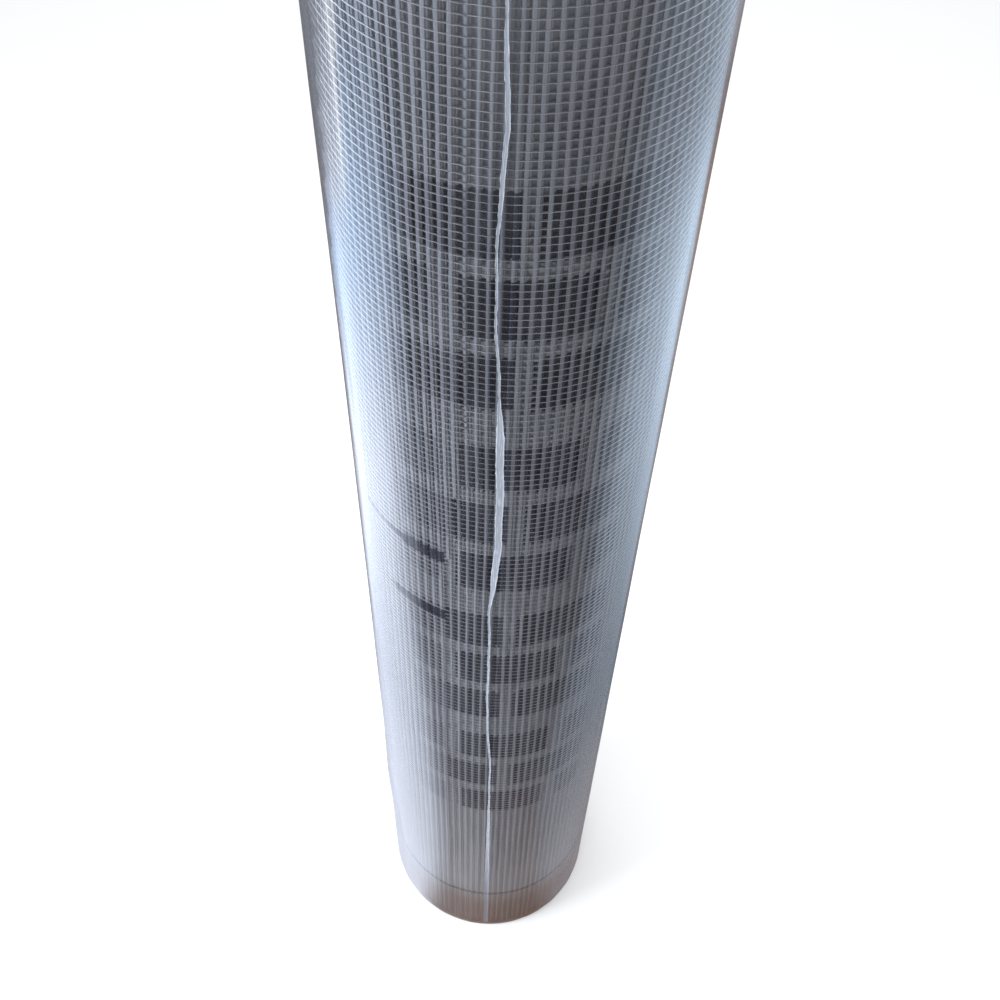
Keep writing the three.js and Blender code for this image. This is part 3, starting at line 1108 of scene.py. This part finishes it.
# %% Mirrored card
CARD_SIZE = 8.0
CARD_LIFT = 0.0005
FRONT_COLOUR = (0.035, 0.032, 0.035, 1)
FAR_COLOUR = (0.34, 0.33, 0.36, 1)
NEAR_FOOT_COLOUR = (0.16, 0.10, 0.07, 1)
BEHIND_COLOUR = (0.38, 0.27, 0.23, 1)
LEFT_NEAR_COLOUR = (1.60, 1.70, 1.95, 1)
LEFT_FAR_COLOUR = (1.10, 1.48, 2.05, 1)
LEFT_SIDE_COLOUR = (0.95, 1.00, 1.12, 1)
RIGHT_COLOUR = (1.08, 1.30, 1.55, 1)
STREAK_COLOUR = (2.3, 2.35, 2.4, 1)

def sector(tree, angle, low, high, soft):
    """1 between two directions in degrees, with soft edges."""
    return between(tree, angle, math.radians(low), math.radians(high), math.radians(soft))


def side_pool(tree, from_side, front_edge, back_edge):
    """1 between a pool's front edge, whose direction is a socket, and its back edge in degrees."""
    front = ramp(tree, maths(tree, "SUBTRACT", from_side, front_edge), -0.22, 0.22)
    back = ramp(tree, from_side, math.radians(back_edge), math.radians(62), 1.0, 0.0)
    return maths(tree, "MULTIPLY", front, back)


def card_colour(tree):
    """The card's brightness: dark in front, pools of light on both sides, a warm grey behind.

    Distances are from the roll's axis in metres, and directions are from the left or the
    right, positive towards the back.
    """
    coordinates = add_node(tree, "ShaderNodeTexCoord").outputs["Object"]
    x, y, _ = add_node(tree, "ShaderNodeSeparateXYZ", Vector=coordinates).outputs
    distance = maths(tree, "SQRT", maths(tree, "MULTIPLY_ADD", x, x, maths(tree, "MULTIPLY", y, y)))
    from_left = maths(tree, "ARCTAN2", y, maths(tree, "MULTIPLY", x, -1.0))
    from_right = maths(tree, "ARCTAN2", y, x)
    colour = mixed(tree, ramp(tree, distance, 1.0, 1.6), FRONT_COLOUR, FAR_COLOUR)
    foot = ramp(tree, distance, 0.11, 0.30, 1.0, 0.0)
    colour = mixed(tree, foot, colour, NEAR_FOOT_COLOUR)
    behind = sector(tree, from_right, 55, 125, 10)
    behind = maths(tree, "MULTIPLY", behind, ramp(tree, distance, 0.9, 1.4, 1.0, 0.25))
    colour = mixed(tree, behind, colour, BEHIND_COLOUR)
    front_edge = ramp(tree, distance, 0.13, 0.45, math.radians(-50), math.radians(-18))
    left = product(
        tree,
        side_pool(tree, from_left, front_edge, 34),
        ramp(tree, distance, 0.95, 1.6, 1.0, 0.25),
        ramp(tree, distance, 0.25, 0.58, 0.50, 1.0),
    )
    left_colour = mixed(tree, ramp(tree, distance, 0.5, 1.0), LEFT_NEAR_COLOUR, LEFT_FAR_COLOUR)
    sideways = ramp(tree, from_left, math.radians(18), math.radians(30))
    sideways = maths(tree, "MULTIPLY", sideways, ramp(tree, distance, 0.8, 1.1))
    left_colour = mixed(tree, sideways, left_colour, LEFT_SIDE_COLOUR)
    colour = mixed(tree, left, colour, left_colour)
    right = product(
        tree,
        side_pool(tree, from_right, front_edge, 38),
        ramp(tree, distance, 0.22, 0.92, 0.15, 1.0),
        ramp(tree, distance, 0.95, 1.35, 1.0, 0.6),
    )
    colour = mixed(tree, right, colour, RIGHT_COLOUR)
    sharp_edge = ramp(tree, distance, 1.1, 1.6, math.radians(17.5), math.radians(12.8))
    streak = product(
        tree,
        ramp(tree, maths(tree, "SUBTRACT", from_left, sharp_edge), 0.0, 0.03),
        ramp(tree, from_left, math.radians(19), math.radians(29), 1.0, 0.0),
        ramp(tree, distance, 0.95, 1.15),
    )
    return mixed(tree, streak, colour, STREAK_COLOUR)


def mirrored_card():
    """A flat card on the floor that only reflections see, with soft pools of light on it."""
    mesh = bpy.data.meshes.new("mirrored_card")
    corners = np.array([[-1, -1, 0], [1, -1, 0], [1, 1, 0], [-1, 1, 0]]) * CARD_SIZE / 2
    corners[:, 2] = CARD_LIFT
    mesh.from_pydata(corners.tolist(), [], [(0, 1, 2, 3)])
    card = bpy.data.objects.new("mirrored_card", mesh)
    scene.collection.objects.link(card)
    material, tree, output = new_material("mirrored_card")
    shader = add_node(tree, "ShaderNodeEmission", Color=card_colour(tree))
    tree.links.new(shader.outputs[0], output.inputs[0])
    material.cycles.emission_sampling = "NONE"
    mesh.materials.append(material)
    card.visible_camera = False
    card.visible_diffuse = False
    card.visible_shadow = False
    card.visible_transmission = False


mirrored_card()
print("mirrored card", CARD_SIZE, "m across")
